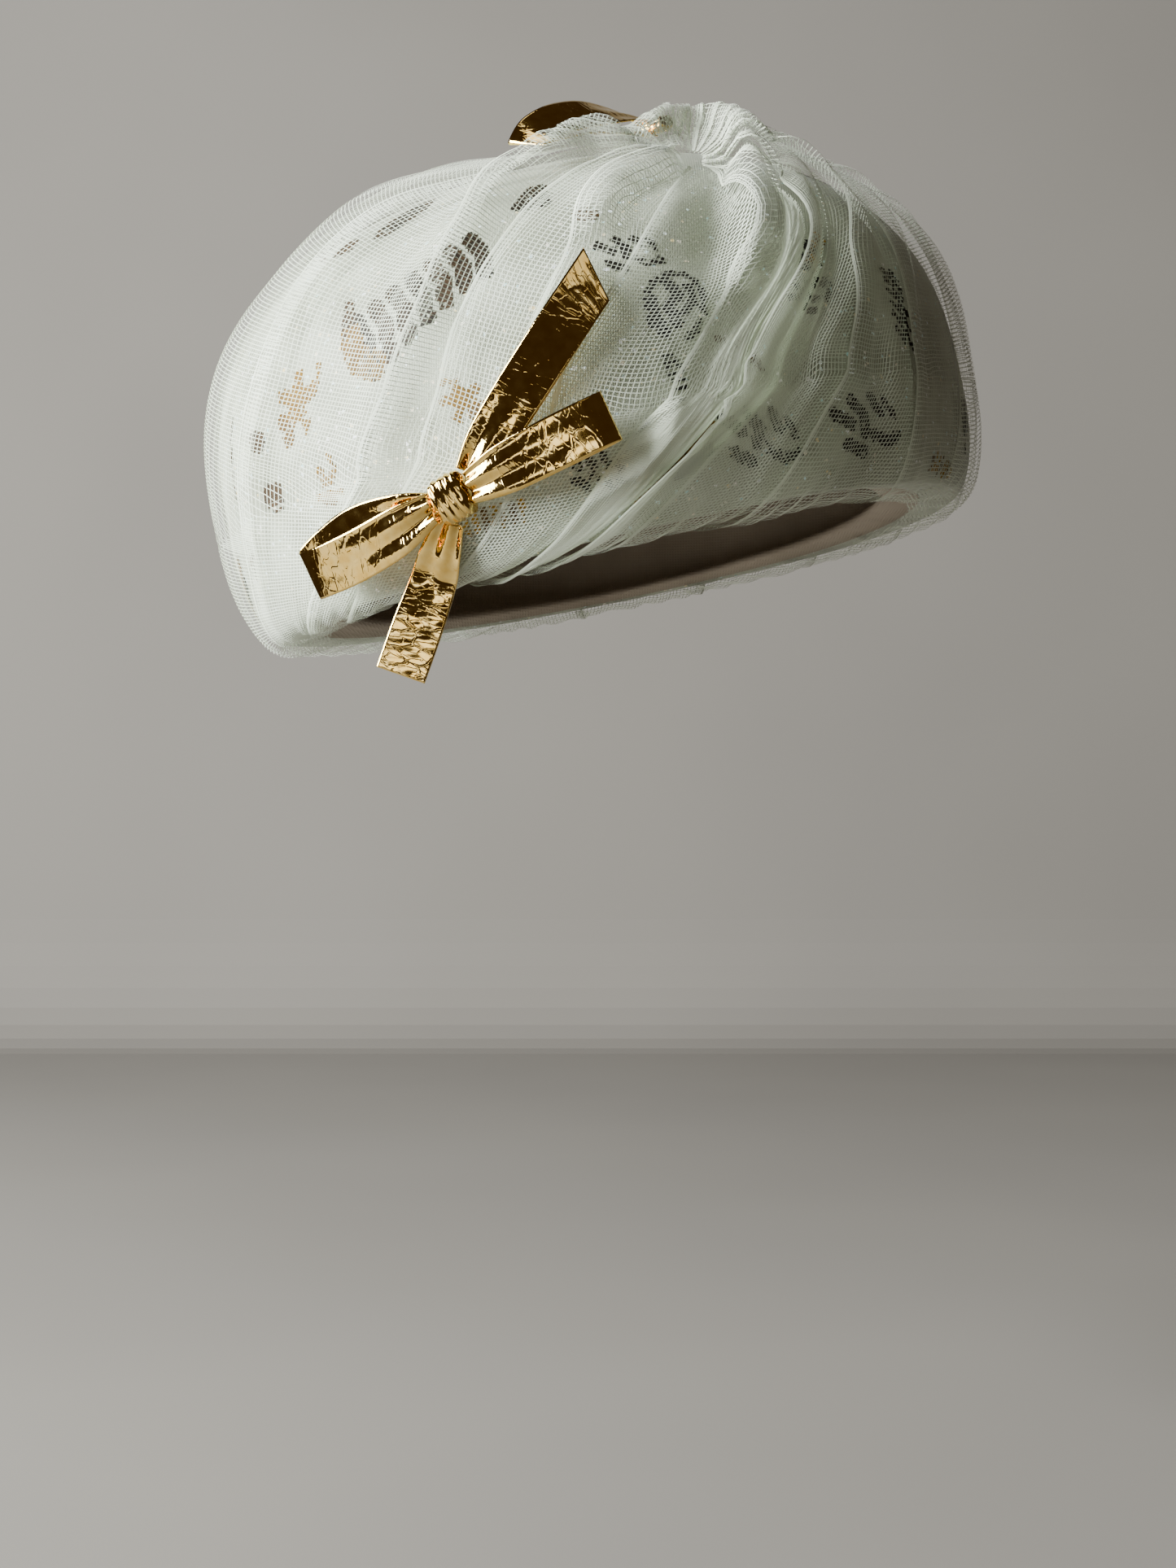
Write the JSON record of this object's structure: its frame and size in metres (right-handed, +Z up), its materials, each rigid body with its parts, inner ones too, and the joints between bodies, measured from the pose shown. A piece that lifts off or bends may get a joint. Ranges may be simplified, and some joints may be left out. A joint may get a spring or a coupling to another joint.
{
  "type": "cocktail hat",
  "caption": "Puffed brocade cocktail hat draped in gathered ivory net, with a gold foil ribbon bow on the front and a foil loop on the crown.",
  "frame": {"origin": "centre of the head opening, where the hat sits on a head", "axes": "+Z up the wearer's head, -Y towards the hat's front, +X towards the wearer's left; the hat is worn tilted 11.5 degrees about Y, its +X side up"},
  "size_m": [0.2246, 0.2449, 0.1623],
  "materials": {
    "brocade": "satin",
    "net": "matte",
    "gold_foil": "polished"
  },
  "bodies": {
    "root": {"brocade_cap": "brocade", "net_drape": "net", "front_bow_knot": "gold_foil", "front_bow_loop_left": "gold_foil", "front_bow_loop_right": "gold_foil", "front_bow_tail_up": "gold_foil", "front_bow_tail_down": "gold_foil", "crown_loop": "gold_foil", "crown_loop_knot": "gold_foil"}
  },
  "joints": []
}
